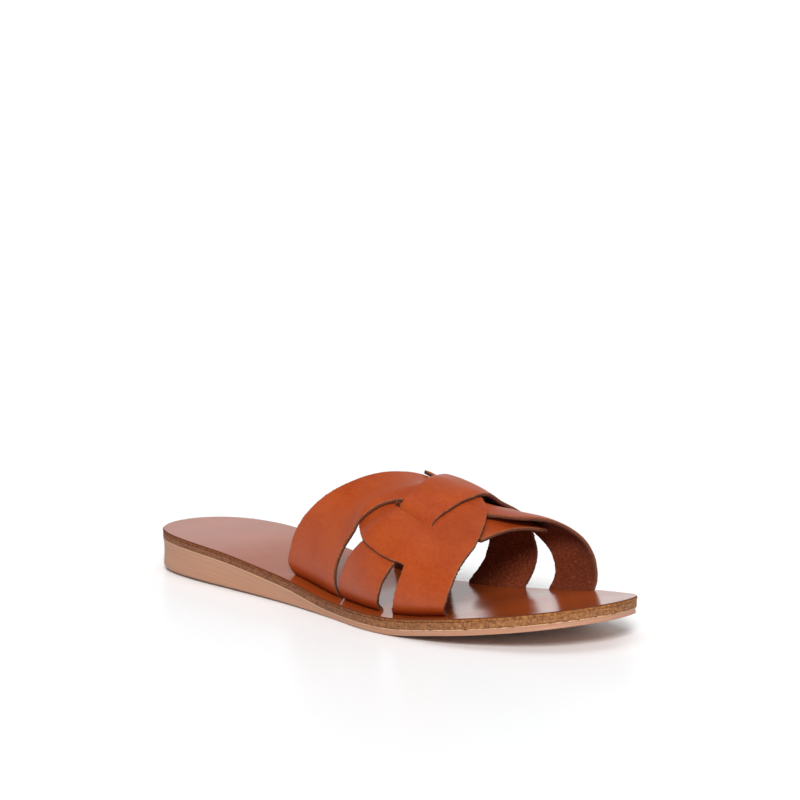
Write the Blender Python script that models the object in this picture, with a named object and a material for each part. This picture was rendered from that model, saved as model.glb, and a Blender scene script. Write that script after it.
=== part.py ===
"""Woven mule sandal, the right shoe of a pair.

Metres, +X towards the toe, -Y the outer side of the foot, +Z up. The origin lies on the floor
under the middle of the sole. Tables and sizes below are in millimetres, with stations
measured from the back of the heel, and MM turns them into metres when a mesh is made.
"""
import bmesh
import bpy
import numpy as np

MM = 0.001

# Sole sizes
LENGTH = 252.0
HEEL_BACK_Y = 1.2
TOE_TIP_Y = 6.6
END_FLAT = 0.12
GLUE_GAP = 0.3
INSOLE_THICK = 1.2
SOLE_STATIONS = 72
LOOP_STEPS = 24

# Y of the middle of the whole sandal's box, from the middle of the sole's outline
BOX_MIDDLE_Y = 1.0

# Strap sizes
STRAP_THICK = 1.8
SLOT_INSET_OUTER = 4.6
SLOT_INSET_INNER = 3.4
SLOT_CLEARANCE = 0.3
SLOT_STATIONS = 10
SLOT_CUT_DEPTH = 6.0
ARCH_OVERHANG = 0.33
ARCH_FULLNESS = 2.3
ARCH_LEAN = 0.10
STRAP_ROWS = 60
STRAP_COLUMNS = 8

# Steps for slopes on the arch, and the angle from which an edge is drawn sharp
STATION_STEP = 0.5
SHARE_STEP = 0.002
SHARP_ANGLE = np.radians(40)

# Outline of the sole: station, half width on the outer side, half width on the inner side
OUTLINE = np.array((
    (2.0, 9.2, 11.6),
    (8.0, 18.0, 20.4),
    (20.0, 24.0, 27.2),
    (40.0, 27.6, 29.4),
    (68.0, 29.5, 25.4),
    (101.0, 32.1, 23.2),
    (134.0, 37.2, 29.0),
    (161.0, 43.0, 37.5),
    (184.0, 43.0, 43.2),
    (207.0, 39.6, 43.2),
    (227.0, 30.7, 37.6),
    (240.0, 21.6, 31.2),
    (248.0, 10.6, 22.4),
))

# Side view of the sole: station, height of the insole's top, board thickness, lift of the bottom
SOLE_LINES = np.array((
    (0.0, 18.0, 1.9, 0.0),
    (50.0, 16.0, 1.9, 0.0),
    (100.0, 11.2, 2.1, 0.0),
    (139.0, 7.0, 2.5, 0.0),
    (171.0, 7.2, 2.6, 0.0),
    (202.0, 10.5, 2.6, 3.3),
    (227.0, 13.8, 2.6, 6.6),
    (252.0, 17.9, 2.6, 10.7),
))

# Walls of the sole's layers from the top down: share of the height, inset from the outline
INSOLE_WALL = np.array(((1.0, 0.3), (0.7, 0.0), (0.0, 0.0)))
BOARD_WALL = np.array(((1.0, 0.0), (0.0, 0.0)))
OUTSOLE_WALL = np.array((
    (1.00, 0.1),
    (0.70, 0.5),
    (0.40, 0.5),
    (0.20, 0.3),
    (0.07, 1.0),
    (0.00, 2.6),
))

# Height of the instep above the insole: station, height
INSTEP = np.array((
    (100.0, 57.0),
    (130.0, 50.0),
    (160.0, 41.5),
    (190.0, 30.5),
    (215.0, 19.0),
))

# Straps: share of the arch from the outer slot to the inner slot, rear edge, front edge, lift
DIAGONAL_STRAP = np.array((
    (0.00, 106.5, 135.5, 0.0),
    (0.06, 104.5, 137.0, 0.5),
    (0.14, 109.5, 140.0, 0.9),
    (0.28, 125.5, 148.0, 1.1),
    (0.40, 133.5, 160.0, 0.5),
    (0.50, 140.0, 178.0, 0.0),
    (0.58, 149.0, 190.0, 0.1),
    (0.72, 166.0, 197.0, 1.1),
    (0.88, 181.0, 206.0, 0.9),
    (1.00, 184.0, 208.0, 0.0),
))
MIDDLE_STRAP = np.array((
    (0.00, 142.0, 167.5, 0.0),
    (0.12, 146.0, 169.0, 0.0),
    (0.20, 153.0, 174.0, 0.2),
    (0.34, 158.5, 179.5, 1.2),
    (0.50, 153.0, 173.5, 1.4),
    (0.66, 152.0, 170.0, 1.0),
    (0.80, 154.5, 173.0, 0.2),
    (0.88, 154.0, 174.5, 0.0),
    (1.00, 147.5, 171.5, 0.0),
))
FORKED_STRAP = np.array((
    (0.00, 177.0, 203.0, 0.0),
    (0.12, 180.0, 204.5, 0.3),
    (0.19, 180.0, 204.0, 0.5),
    (0.22, 156.0, 203.5, 0.5),
    (0.25, 147.5, 202.5, 0.5),
    (0.36, 145.0, 199.0, 0.5),
    (0.44, 142.5, 192.0, 0.5),
    (0.50, 139.5, 181.0, 0.5),
    (0.56, 135.5, 175.5, 0.5),
    (0.64, 129.0, 173.0, 0.5),
    (0.75, 121.0, 168.5, 0.5),
    (0.78, 119.0, 160.0, 0.5),
    (0.81, 116.5, 136.0, 0.5),
    (0.88, 113.5, 136.0, 0.3),
    (1.00, 113.0, 139.0, 0.0),
))

# Colour as linear red, green and blue, then roughness
FINISHES = {
    "outsole": ((0.50, 0.28, 0.17), 0.65),
    "midsole": ((0.25, 0.09, 0.03), 0.80),
    "insole": ((0.22, 0.06, 0.03), 0.35),
    "upper": ((0.43, 0.08, 0.025), 0.45),
}


def cubic(s, start, end, rise):
    """Way along a cubic at share s of its span, which rises in all by rise and has these end slopes."""
    return s * start + s**2 * (3 * rise - 2 * start - end) + s**3 * (start + end - 2 * rise)


def smooth(table, column, at):
    """Curve through one column of a table: cubic pieces that never swing past the rows they join."""
    knots = table[:, 0]
    values = table[:, column]
    steep = np.diff(values) / np.diff(knots)
    both = steep[:-1] * steep[1:]
    total = np.where(both > 0, steep[:-1] + steep[1:], 1.0)
    inner = np.where(both > 0, 2 * both / total, 0.0)
    slopes = np.concatenate((steep[:1], inner, steep[-1:]))
    at = np.clip(at, knots[0], knots[-1])
    piece = np.clip(np.searchsorted(knots, at, side="right") - 1, 0, len(knots) - 2)
    span = knots[piece + 1] - knots[piece]
    s = (at - knots[piece]) / span
    rise = values[piece + 1] - values[piece]
    start = span * slopes[piece]
    end = span * slopes[piece + 1]
    return values[piece] + cubic(s, start, end, rise)


def outline_loop():
    """Closed curve through the outline table, heel back and toe tip, centred in Y."""
    outer = np.column_stack((OUTLINE[:, 0], -OUTLINE[:, 1]))
    inner = np.column_stack((OUTLINE[:, 0], OUTLINE[:, 2]))
    heel = ((0.0, HEEL_BACK_Y),)
    toe = ((LENGTH, TOE_TIP_Y),)
    points = np.vstack((heel, outer, toe, inner[::-1]))
    after = np.roll(points, -1, axis=0)
    chord = np.linalg.norm(after - points, axis=1)[:, None]
    before_chord = np.roll(chord, 1, axis=0)
    slope = (after - np.roll(points, 1, axis=0)) / (chord + before_chord)
    s = np.linspace(0, 1, LOOP_STEPS, endpoint=False)[None, :, None]
    start = (chord * slope)[:, None]
    end = (chord * np.roll(slope, -1, axis=0))[:, None]
    rise = (after - points)[:, None]
    loop = (points[:, None] + cubic(s, start, end, rise)).reshape(-1, 2)
    loop[:, 1] -= (loop[:, 1].max() + loop[:, 1].min()) / 2
    return loop


LOOP = outline_loop()


def sole_edges(inset):
    """Stations and the outer and inner edge there, of the outline drawn in by the inset."""
    ahead = np.roll(LOOP, -1, axis=0) - np.roll(LOOP, 1, axis=0)
    ahead /= np.linalg.norm(ahead, axis=1)[:, None]
    drawn = LOOP + inset * np.column_stack((-ahead[:, 1], ahead[:, 0]))
    toe = drawn[:, 0].argmax()
    outer = drawn[: toe + 1]
    inner = np.vstack((drawn[toe:], drawn[:1]))[::-1]
    turn = np.linspace(0, np.pi, SOLE_STATIONS)
    first = drawn[:, 0].min() + END_FLAT
    last = drawn[:, 0].max() - END_FLAT
    stations = first + (last - first) * (1 - np.cos(turn)) / 2
    y_outer = np.interp(stations, outer[:, 0], outer[:, 1])
    y_inner = np.interp(stations, inner[:, 0], inner[:, 1])
    return stations, y_outer, y_inner


def insole_top(station):
    return smooth(SOLE_LINES, 1, station)


def insole_bottom(station):
    return insole_top(station) - INSOLE_THICK


def board_top(station):
    return insole_bottom(station) - GLUE_GAP


def board_bottom(station):
    return board_top(station) - smooth(SOLE_LINES, 2, station)


def outsole_top(station):
    return board_bottom(station) - GLUE_GAP


def ground(station):
    return smooth(SOLE_LINES, 3, station)


def material(name):
    colour, roughness = FINISHES[name]
    made = bpy.data.materials.new(name)
    made.use_nodes = True
    shader = made.node_tree.nodes["Principled BSDF"]
    shader.inputs["Base Color"].default_value = (*colour, 1.0)
    shader.inputs["Roughness"].default_value = roughness
    return made


def mesh_object(name, points, faces):
    """Object from points in millimetres, with its origin under the middle of the sole."""
    points = (np.asarray(points, dtype=float) - (LENGTH / 2, BOX_MIDDLE_Y, 0.0)) * MM
    mesh = bpy.data.meshes.new(name)
    mesh.from_pydata(points.tolist(), [], faces)
    shape = bmesh.new()
    shape.from_mesh(mesh)
    bmesh.ops.triangulate(shape, faces=shape.faces)
    bmesh.ops.recalc_face_normals(shape, faces=shape.faces)
    shape.to_mesh(mesh)
    shape.free()
    mesh.shade_smooth()
    mesh.set_sharp_from_angle(angle=SHARP_ANGLE)
    made = bpy.data.objects.new(name, mesh)
    bpy.context.scene.collection.objects.link(made)
    return made


def ring_stack(rings):
    """Faces that join rings of equal size in order and close the first and the last ring."""
    count = len(rings[0])
    faces = []
    for ring in range(len(rings) - 1):
        base = ring * count
        for k in range(count):
            after = (k + 1) % count
            faces.append((base + k, base + after, base + count + after, base + count + k))
    faces.append(tuple(range(count))[::-1])
    last = (len(rings) - 1) * count
    faces.append(tuple(range(last, last + count)))
    return np.vstack(rings), faces


def sole_layer(name, top, bottom, wall):
    """Solid between two heights that vary along the shoe, with a wall table of shares and insets."""
    sides = []
    for share, inset in wall:
        stations, outer, inner = sole_edges(inset)
        height = bottom(stations) + share * (top(stations) - bottom(stations))
        outer_side = np.column_stack((stations, outer, height))
        inner_side = np.column_stack((stations, inner, height))
        sides.append((outer_side, inner_side))
    rings = []
    for k in range(SOLE_STATIONS):
        outer_wall = [outer[k] for outer, inner in sides]
        inner_wall = [inner[k] for outer, inner in reversed(sides)]
        rings.append(np.array(outer_wall + inner_wall))
    points, faces = ring_stack(rings)
    made = mesh_object(name, points, faces)
    made.data.materials.append(material(name))
    return made


def slot_line(station, share):
    """Y of the slot in the insole, on the outer side for share 0 and the inner side for share 1."""
    stations, outer, inner = sole_edges(0.0)
    y_outer = np.interp(station, stations, outer) + SLOT_INSET_OUTER
    y_inner = np.interp(station, stations, inner) - SLOT_INSET_INNER
    return y_outer + (y_inner - y_outer) * share


def arch(station, share):
    """Point of the last's arch: a fuller ellipse whose feet turn in under it, leaning inwards."""
    power = 2 / ARCH_FULLNESS
    angle = share * (np.pi + 2 * ARCH_OVERHANG) - ARCH_OVERHANG
    foot_x = np.cos(ARCH_OVERHANG) ** power
    foot_z = np.sin(ARCH_OVERHANG) ** power
    y_outer = slot_line(station, 0)
    y_inner = slot_line(station, 1)
    across = np.sign(np.cos(angle)) * np.abs(np.cos(angle)) ** power / foot_x
    up = (np.sign(np.sin(angle)) * np.abs(np.sin(angle)) ** power + foot_z) / (1 + foot_z)
    rise = smooth(INSTEP, 1, station) * up
    y = (y_outer + y_inner) / 2 - (y_inner - y_outer) / 2 * across + ARCH_LEAN * rise
    return np.stack((station, y, insole_top(station) + rise), axis=-1)


def arch_normal(station, share):
    """Direction that points out of the arch, never down, so that the feet stay clear of the insole."""
    along = arch(station + STATION_STEP, share) - arch(station - STATION_STEP, share)
    further = np.minimum(share + SHARE_STEP, 1)
    nearer = np.maximum(share - SHARE_STEP, 0)
    over = arch(station, further) - arch(station, nearer)
    normal = np.cross(along, over)
    normal[..., 2] = np.maximum(normal[..., 2], 0.0)
    normal[share <= 0] = (0.0, -1.0, 0.0)
    normal[share >= 1] = (0.0, 1.0, 0.0)
    return normal / np.linalg.norm(normal, axis=-1, keepdims=True)


def strap(name, table):
    """Closed solid of one strap, from its foot in the outer slot to its foot in the inner slot."""
    shares = np.linspace(0, 1, STRAP_ROWS)
    across = np.linspace(0, 1, STRAP_COLUMNS)
    rear = smooth(table, 1, shares)[:, None]
    front = smooth(table, 2, shares)[:, None]
    station = rear + (front - rear) * across
    share = np.repeat(shares[:, None], STRAP_COLUMNS, axis=1)
    normal = arch_normal(station, share)
    inside = arch(station, share) + smooth(table, 3, share)[..., None] * normal
    outside = inside + STRAP_THICK * normal
    rings = []
    for row in range(STRAP_ROWS):
        rings.append(np.vstack((inside[row], outside[row][::-1])))
    foot = np.array((0.0, 0.0, INSOLE_THICK))
    rings = [rings[0] - foot] + rings + [rings[-1] - foot]
    points, faces = ring_stack(rings)
    return mesh_object(name, points, faces)


def slot_cutter(name, table, share):
    """Upright block around one strap foot, wider than the foot by the clearance on every side."""
    row = table[0] if share == 0 else table[-1]
    stations = np.linspace(row[1] - SLOT_CLEARANCE, row[2] + SLOT_CLEARANCE, SLOT_STATIONS)
    out = -1.0 if share == 0 else 1.0
    near = slot_line(stations, share) - out * SLOT_CLEARANCE
    far = slot_line(stations, share) + out * (STRAP_THICK + SLOT_CLEARANCE)
    rings = []
    for station, y_near, y_far in zip(stations, near, far):
        low = insole_top(station) - SLOT_CUT_DEPTH
        high = insole_top(station) + SLOT_CUT_DEPTH
        rings.append(np.array((
            (station, y_near, low),
            (station, y_far, low),
            (station, y_far, high),
            (station, y_near, high),
        )))
    points, faces = ring_stack(rings)
    return mesh_object(name, points, faces)


def combine(target, tool, operation):
    """Boolean of the target with a tool that stays hidden as a wire guide."""
    tool.hide_render = True
    tool.display_type = "WIRE"
    cut = target.modifiers.new(tool.name, "BOOLEAN")
    cut.operation = operation
    cut.object = tool


def build():
    for old in list(bpy.data.objects):
        bpy.data.objects.remove(old, do_unlink=True)
    sole_layer("outsole", outsole_top, ground, OUTSOLE_WALL)
    sole_layer("midsole", board_top, board_bottom, BOARD_WALL)
    insole = sole_layer("insole", insole_top, insole_bottom, INSOLE_WALL)

    tables = {"diagonal": DIAGONAL_STRAP, "middle": MIDDLE_STRAP, "forked": FORKED_STRAP}
    upper = strap("upper", tables["diagonal"])
    upper.data.materials.append(material("upper"))
    for name in ("forked", "middle"):
        combine(upper, strap(name + "_guide", tables[name]), "UNION")
    for name, table in tables.items():
        for share, side in ((0, "outer"), (1, "inner")):
            combine(insole, slot_cutter(f"{name}_{side}_slot_guide", table, share), "DIFFERENCE")


build()
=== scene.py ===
# %% [markdown]
# # A woven leather mule
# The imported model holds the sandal's real size and place. This lesson gives it its looks: three leather
# straps woven over the instep, a polished insole with slots, a fibre board and a rubber outsole.
# Everything is worked out in millimetres, with stations measured from the back of the heel.

# %% Load the packed sandal
import bpy
import numpy as np
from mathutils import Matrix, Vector


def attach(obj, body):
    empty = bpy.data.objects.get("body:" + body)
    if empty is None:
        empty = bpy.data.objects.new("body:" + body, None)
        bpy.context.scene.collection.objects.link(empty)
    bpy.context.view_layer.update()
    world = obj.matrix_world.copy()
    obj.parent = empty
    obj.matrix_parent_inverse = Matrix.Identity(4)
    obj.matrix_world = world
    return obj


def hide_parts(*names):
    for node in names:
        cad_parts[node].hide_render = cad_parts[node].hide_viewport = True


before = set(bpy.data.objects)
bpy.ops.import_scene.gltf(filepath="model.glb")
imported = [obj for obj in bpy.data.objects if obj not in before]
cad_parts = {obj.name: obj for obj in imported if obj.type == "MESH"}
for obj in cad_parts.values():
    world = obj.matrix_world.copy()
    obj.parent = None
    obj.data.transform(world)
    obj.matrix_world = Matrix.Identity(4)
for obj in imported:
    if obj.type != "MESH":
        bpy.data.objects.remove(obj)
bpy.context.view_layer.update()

MM = 0.001
# Length of the sole in mm
LENGTH = 252.0
print("nodes:", sorted(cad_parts))

# %% [markdown]
# ## The sole's lines
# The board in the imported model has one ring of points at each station, so its outline and its top can be
# read back from the node. The stations crowd towards heel and toe like the shadow of a turning wheel,
# so the lines are drawn against that wheel's angle, where they have no steep ends.
# Typing it in again would work too, but could drift away from the model.

# %% Read the board's outline
# Gap that the model leaves between its layers for glue, and the insole's thickness, in mm
GLUE_GAP = 0.3
INSOLE_THICK = 1.2


def read_board():
    """Table of the board: angle, outer edge, inner edge, bottom and top at each of its stations."""
    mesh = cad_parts["midsole"].data
    points = np.empty(3 * len(mesh.vertices), np.float32)
    mesh.vertices.foreach_get("co", points)
    points = points.reshape(-1, 3) / MM
    stations, where = np.unique((points[:, 0] + LENGTH / 2).round(2), return_inverse=True)
    low = np.full((len(stations), 2), np.inf)
    high = np.full((len(stations), 2), -np.inf)
    np.minimum.at(low, where, points[:, 1:])
    np.maximum.at(high, where, points[:, 1:])
    angle = np.linspace(0, np.pi, len(stations))
    return stations, np.column_stack((angle, low[:, 0], high[:, 0], low[:, 1], high[:, 1]))


BOARD_STATIONS, BOARD = read_board()
BOARD_OUTER, BOARD_INNER, BOARD_BOTTOM, BOARD_TOP = 1, 2, 3, 4
HEEL_END, TOE_END = BOARD_STATIONS[0], BOARD_STATIONS[-1]


def smooth(table, column, at):
    """Curve through one column of a table: cubic pieces that never swing past the rows they join."""
    knots, values = table[:, 0], table[:, column]
    steep = np.diff(values) / np.diff(knots)
    both = steep[:-1] * steep[1:]
    total = np.where(both > 0, steep[:-1] + steep[1:], 1.0)
    slopes = np.concatenate((steep[:1], np.where(both > 0, 2 * both / total, 0.0), steep[-1:]))
    at = np.clip(at, knots[0], knots[-1])
    piece = np.clip(np.searchsorted(knots, at, side="right") - 1, 0, len(knots) - 2)
    span = knots[piece + 1] - knots[piece]
    s = (at - knots[piece]) / span
    rise = values[piece + 1] - values[piece]
    start, end = span * slopes[piece], span * slopes[piece + 1]
    return values[piece] + s * start + s**2 * (3 * rise - 2 * start - end) + s**3 * (start + end - 2 * rise)


def board(column, station):
    """One line of the board at any station, read at the angle whose cosine gives that station."""
    share = np.clip((station - HEEL_END) / (TOE_END - HEEL_END), 0, 1)
    return smooth(BOARD, column, np.arccos(1 - 2 * share))


def insole_top(station):
    """Height of the insole's top: the board's top with glue and leather on it."""
    return board(BOARD_TOP, station) + GLUE_GAP + INSOLE_THICK


print(f"board: {len(BOARD_STATIONS)} stations from {HEEL_END:.1f} to {TOE_END:.1f} mm")

# %% [markdown]
# ## The last under the straps
# Straps are pulled over a wooden last, so they share its shape. Its section is an ellipse, a little
# fuller than a true one, whose feet turn in under it. A point of it has a station along the shoe and a
# share of the way round, from 0 at the outer slot to 1 at the inner slot. A sculpted last could serve
# too, but a formula gives any point and its slope.

# %% Shape of the last
# Distance of the slots from the sole's outer and inner edge, in mm
SLOT_INSET_OUTER = 4.6
SLOT_INSET_INNER = 3.4
# How far the feet turn in under the arch in radians, the power that makes it full, where 2 is a true
# ellipse, and how far it leans to the inner side for each mm of height
ARCH_OVERHANG = 0.33
ARCH_FULLNESS = 2.3
ARCH_LEAN = 0.10
# Steps along and over the last between the points that give its slope
STATION_STEP = 0.5
SHARE_STEP = 0.002

# Height of the instep above the insole: station, height
INSTEP = np.array(((100, 57), (130, 50), (160, 41.5), (190, 30.5), (215, 19)), float)


def arch(station, share):
    """Point of the last: across goes with the cosine and up with the sine of an angle that runs from
    just under one foot to just under the other, both to a power that makes the ellipse fuller."""
    power = 2 / ARCH_FULLNESS
    angle = share * (np.pi + 2 * ARCH_OVERHANG) - ARCH_OVERHANG
    foot = np.sin(ARCH_OVERHANG) ** power
    outer = board(BOARD_OUTER, station) + SLOT_INSET_OUTER
    inner = board(BOARD_INNER, station) - SLOT_INSET_INNER
    across = np.sign(np.cos(angle)) * np.abs(np.cos(angle) / np.cos(ARCH_OVERHANG)) ** power
    up = (np.sign(np.sin(angle)) * np.abs(np.sin(angle)) ** power + foot) / (1 + foot)
    rise = smooth(INSTEP, 1, station) * up
    y = (outer + inner) / 2 - (inner - outer) / 2 * across + ARCH_LEAN * rise
    return np.stack((station - LENGTH / 2, y, insole_top(station) + rise), axis=-1)


def arch_normal(station, share):
    """Direction out of the last, never downwards, straight out to the side at the slots."""
    along = arch(station + STATION_STEP, share) - arch(station - STATION_STEP, share)
    over = arch(station, np.minimum(share + SHARE_STEP, 1)) - arch(station, np.maximum(share - SHARE_STEP, 0))
    normal = np.cross(along, over)
    normal[..., 2] = np.maximum(normal[..., 2], 0.0)
    normal[share <= 0] = (0.0, -1.0, 0.0)
    normal[share >= 1] = (0.0, 1.0, 0.0)
    return normal / np.linalg.norm(normal, axis=-1, keepdims=True)


CROWN_STATION = 130.0
crown = arch(np.array(CROWN_STATION), np.array(0.5))
print(f"last: {crown[2]:.1f} mm high at station {CROWN_STATION:.0f}")

# %% [markdown]
# ## How the straps are cut
# Two plain straps are tables of their rear and front edge at shares of the way over the foot. The forked
# strap is cut wider: its leg runs on over the top as a lobe to the inner rear foot, and a wing grows out
# of its side. The wing is a ribbon of rungs, each from a point on its lower edge to one on its upper edge.
# Curves could be filled as well, but a table keeps every edge where it was measured.

# %% Outlines of the straps
# Thickness in mm, and the rows and columns of a strap's grid
STRAP_THICK = 1.65
ROWS = 240
COLUMNS = 44

# Share of the way over, rear edge, front edge
DIAGONAL = np.array((
    (0.00, 100.2, 133.0),
    (0.03, 100.0, 133.6),
    (0.07, 102.4, 134.8),
    (0.14, 108.5, 139.4),
    (0.20, 114.8, 144.2),
    (0.26, 121.0, 147.5),
    (0.33, 127.7, 152.0),
    (0.40, 132.6, 160.0),
    (0.49, 138.2, 176.5),
    (0.53, 141.6, 183.0),
    (0.58, 147.5, 190.0),
    (0.65, 156.5, 193.8),
    (0.72, 165.5, 197.0),
    (0.80, 176.5, 202.0),
    (0.88, 183.2, 206.0),
    (0.94, 185.0, 207.3),
    (1.00, 184.2, 208.0),
))
MIDDLE = np.array((
    (0.00, 136.6, 163.2),
    (0.03, 137.3, 165.2),
    (0.06, 139.2, 167.0),
    (0.10, 143.0, 169.2),
    (0.15, 147.8, 172.2),
    (0.20, 152.8, 174.2),
    (0.34, 159.6, 177.0),
    (0.39, 158.8, 175.6),
    (0.43, 157.3, 175.2),
    (0.50, 154.0, 173.4),
    (0.53, 152.4, 172.0),
    (0.60, 151.0, 170.2),
    (0.64, 151.2, 169.0),
    (0.70, 152.0, 167.8),
    (0.80, 154.5, 173.2),
    (0.88, 154.0, 175.0),
    (1.00, 147.5, 171.8),
))
LEG_AND_LOBE = np.array((
    (0.000, 170.8, 198.6),
    (0.030, 174.6, 200.6),
    (0.060, 176.8, 202.2),
    (0.100, 178.4, 203.5),
    (0.160, 179.8, 203.9),
    (0.185, 179.7, 203.7),
    (0.250, 179.0, 202.3),
    (0.355, 176.0, 198.8),
    (0.385, 173.2, 196.8),
    (0.420, 169.4, 193.8),
    (0.450, 164.0, 190.4),
    (0.475, 157.0, 187.3),
    (0.498, 155.5, 183.4),
    (0.532, 154.0, 175.4),
    (0.548, 152.0, 170.8),
    (0.554, 141.2, 169.0),
    (0.575, 143.5, 166.8),
    (0.600, 145.0, 165.5),
    (0.630, 143.4, 163.8),
    (0.655, 139.6, 161.4),
    (0.700, 131.0, 154.8),
    (0.750, 124.4, 147.2),
    (0.800, 120.8, 141.6),
    (0.850, 118.2, 138.2),
    (0.900, 116.0, 137.4),
    (0.950, 113.9, 137.6),
    (1.000, 111.8, 138.2),
))
# Shares where the wing leaves the leg, and where it joins the lobe again on the inner side
CROTCH, SLIT = 0.185, 0.355
INNER_SLIT, INNER_CROTCH = 0.680, 0.815

# Rungs of the wing: station and share on its lower edge, station and share on its upper edge
WING = np.array((
    (179.7, 0.185, 176.0, 0.355),
    (170.0, 0.184, 170.0, 0.343),
    (158.5, 0.194, 163.6, 0.341),
    (149.5, 0.215, 159.0, 0.350),
    (145.4, 0.242, 158.8, 0.368),
    (146.0, 0.285, 163.0, 0.392),
    (148.0, 0.335, 174.0, 0.412),
    (150.8, 0.380, 187.0, 0.424),
    (152.4, 0.425, 193.0, 0.436),
    (153.0, 0.465, 191.3, 0.480),
    (155.5, 0.500, 189.2, 0.530),
    (163.0, 0.530, 188.6, 0.575),
    (172.0, 0.556, 189.0, 0.620),
    (178.0, 0.590, 189.6, 0.665),
    (180.0, 0.622, 188.4, 0.705),
    (178.5, 0.648, 183.5, 0.740),
    (174.0, 0.664, 175.5, 0.768),
    (168.5, 0.671, 166.0, 0.790),
    (163.0, 0.676, 156.0, 0.806),
    (160.0, 0.678, 148.0, 0.813),
    (157.8, 0.680, 140.4, 0.815),
))

# %% Grids of the straps
# Rows of the leg before the wing, between its two joins, and after it
OUTER_ROWS, TOP_ROWS, INNER_ROWS = 36, 76, 37


def strap_grid(table, shares):
    """Stations and shares on a grid: across the strap each row runs evenly from rear to front edge."""
    across = np.linspace(0, 1, COLUMNS)
    rear, front = smooth(table, 1, shares)[:, None], smooth(table, 2, shares)[:, None]
    return rear + (front - rear) * across, np.repeat(shares[:, None], COLUMNS, axis=1)


def wing_grid():
    """Stations and shares on a grid of rungs, each rung running evenly from lower to upper edge."""
    rung = np.linspace(0, 1, len(WING))
    table = np.column_stack((rung, WING))
    at = np.linspace(0, 1, ROWS)
    lower_station, lower_share, upper_station, upper_share = (
        smooth(table, column, at)[:, None] for column in range(1, 5))
    across = np.linspace(0, 1, COLUMNS)
    return (lower_station + (upper_station - lower_station) * across,
            lower_share + (upper_share - lower_share) * across)


even = np.linspace(0, 1, ROWS)
leg_shares = np.concatenate((
    np.linspace(0, CROTCH, OUTER_ROWS, endpoint=False),
    np.linspace(CROTCH, SLIT, COLUMNS),
    np.linspace(SLIT, INNER_SLIT, TOP_ROWS)[1:-1],
    np.linspace(INNER_SLIT, INNER_CROTCH, COLUMNS),
    np.linspace(INNER_CROTCH, 1, INNER_ROWS)[1:],
))
CUT = {
    "diagonal": strap_grid(DIAGONAL, even),
    "middle": strap_grid(MIDDLE, even),
    "leg": strap_grid(LEG_AND_LOBE, leg_shares),
    "wing": wing_grid(),
}
print("strap grids:", {name: grids[0].shape for name, grids in CUT.items()})

# %% [markdown]
# ## Weaving
# Where two straps cross, one lies on the other, and leather bends softly from one height to the next.
# The heights over the last are found on a raster of shares and stations. Each strap is a sheet that
# relaxes: every cell takes the mean of its neighbours and is pulled a little towards the last, and then
# no sheet may lie lower than the top of a sheet that it crosses over. After many sweeps the sheets lie
# still. A cloth simulation could do this, but it has trouble keeping thin straps apart, and this takes a
# second. At a crossing no strap has to be lifted by hand.

# %% Raster over the last
# Shares and stations of the raster, and the mm over the arch that a share of 1 stands for
SHARES = np.linspace(0, 1, 201)
STATIONS = np.linspace(96, 216, 161)
ARCH_SPAN = 135.0
# A strap's cells are filled in steps between its rows, then spread, then made full again
FILL_STEPS = 4
FADE_SWEEPS = 3
FADE_GAIN = 2
share_map, station_map = np.meshgrid(SHARES, STATIONS, indexing="ij")


def spread(field):
    """Mean of the four neighbours of each cell."""
    wide = np.pad(field, 1, mode="edge")
    return (wide[:-2, 1:-1] + wide[2:, 1:-1] + wide[1:-1, :-2] + wide[1:-1, 2:]) / 4


def footprint(stations, shares):
    """Cells that a strap covers: 1 on the strap, fading to 0 within about two cells outside it."""
    covered = np.zeros(share_map.shape)
    for part in np.linspace(0, 1, FILL_STEPS):
        s = stations[:-1] + (stations[1:] - stations[:-1]) * part
        q = shares[:-1] + (shares[1:] - shares[:-1]) * part
        row = np.rint(q * (len(SHARES) - 1)).astype(int)
        column = np.rint((s - STATIONS[0]) / (STATIONS[1] - STATIONS[0])).astype(int)
        covered[row, column] = 1
    for _ in range(FADE_SWEEPS):
        covered = spread(covered)
    return np.clip(FADE_GAIN * covered, 0, 1)


cover = {name: footprint(*grids) for name, grids in CUT.items()}
print("raster:", share_map.shape)

# %% Which strap lies on which
# The slit's end presses the plies together: its station, its reach in mm, the least share of a ply left
SLIT_STATION = 176.0
SLIT_REACH = 7.0
SLIT_GRIP = 0.5
# How far in mm past the lobe's edge the wing is still one sheet with it on the inner side
SEAM_REACH = 4.0
outer_side = share_map < SLIT
over_the_top = ~outer_side
everywhere = np.ones_like(outer_side)
inner_seam_side = station_map < smooth(LEG_AND_LOBE, 2, share_map) + SEAM_REACH
one_sheet = outer_side | ((share_map > INNER_SLIT) & inner_seam_side)
reach = np.hypot(station_map - SLIT_STATION, (share_map - SLIT) * ARCH_SPAN)
grip = np.clip(reach / SLIT_REACH, SLIT_GRIP, 1)

# Upper strap, lower strap, and where the one lies on the other
CROSSINGS = (
    ("wing", "middle", outer_side),
    ("diagonal", "wing", everywhere),
    ("leg", "wing", over_the_top & ~one_sheet),
    ("leg", "diagonal", over_the_top),
    ("middle", "diagonal", over_the_top),
    ("middle", "leg", over_the_top),
    ("middle", "wing", over_the_top),
)
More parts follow.
